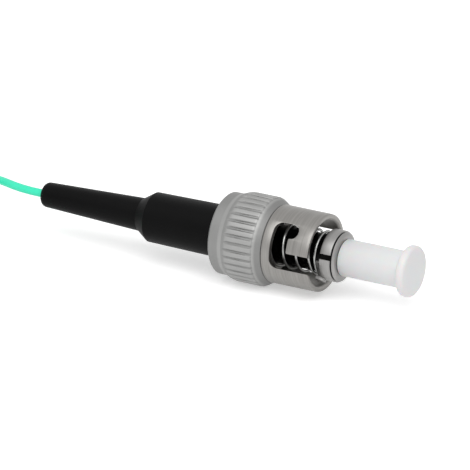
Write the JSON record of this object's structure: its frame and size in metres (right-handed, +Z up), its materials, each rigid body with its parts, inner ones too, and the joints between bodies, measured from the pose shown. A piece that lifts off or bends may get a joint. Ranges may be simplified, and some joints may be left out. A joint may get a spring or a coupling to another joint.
{
  "type": "bayonet fibre optic connector with pigtail",
  "caption": "Round bayonet fibre connector with a fluted coupling nut, slotted shell, black boot, coiled aqua pigtail and push-on dust cap.",
  "frame": {"origin": "on the connector's axis, in the plane of the coupling nut's open front rim", "axes": "+X along the axis toward the dust cap, +Z up, the bayonet entries at -Y and +Y"},
  "size_m": [0.0735, 0.0152, 0.0097],
  "materials": {
    "cap_plastic": "milky, slightly translucent polyethylene",
    "zirconia": "polished white zirconia ceramic",
    "glass_core": "clear silica glass",
    "acrylate": "clear acrylate coating",
    "aqua_buffer": "aqua tight buffer, smooth satin",
    "epoxy": "cured amber epoxy",
    "body_metal": "nickel-plated, turned",
    "spring_wire": "drawn stainless wire and strip",
    "shell_metal": "nickel-plated, fine circumferential turning marks",
    "grip_metal": "nickel-plated, matte as cast and tumbled",
    "sleeve_metal": "plated crimp sleeve",
    "tube_plastic": "white fluoropolymer tube",
    "boot_rubber": "black moulded elastomer, satin",
    "tie_plastic": "black soft tie"
  },
  "bodies": {
    "connector_body": {"inner_body": "body_metal", "ferrule": "zirconia", "glass_fibre": "glass_core", "fibre_coating": "acrylate", "tight_buffer": "aqua_buffer", "epoxy_bead": "epoxy", "compression_spring": "spring_wire", "retaining_clip": "spring_wire", "crimp_sleeve": "sleeve_metal", "guide_tube": "tube_plastic", "boot": "boot_rubber", "pigtail_lead": "aqua_buffer", "pigtail_coil": "aqua_buffer", "coil_tie": "tie_plastic"},
    "spring_washer": {"thrust_washer": "spring_wire"},
    "coupling_nut": {"bayonet_shell": "shell_metal", "grip_ring": "grip_metal"},
    "cap": {"dust_cap": "cap_plastic"}
  },
  "joints": [
    {"name": "nut_slide", "type": "slide", "parent": "connector_body", "child": "spring_washer", "axis": [1, 0, 0], "range_m": [0, 0.0025], "stiffness_N_per_m": 2500, "springref_m": -0.001, "deforming": ["compression_spring"]},
    {"name": "nut_turn", "type": "hinge", "parent": "spring_washer", "child": "coupling_nut", "pos_m": [-0.0084, 0, 0], "axis": [1, 0, 0], "continuous": true},
    {"name": "cap_pull", "type": "slide", "parent": "connector_body", "child": "cap", "axis": [1, 0, 0], "range_m": [0, 0.012]}
  ]
}
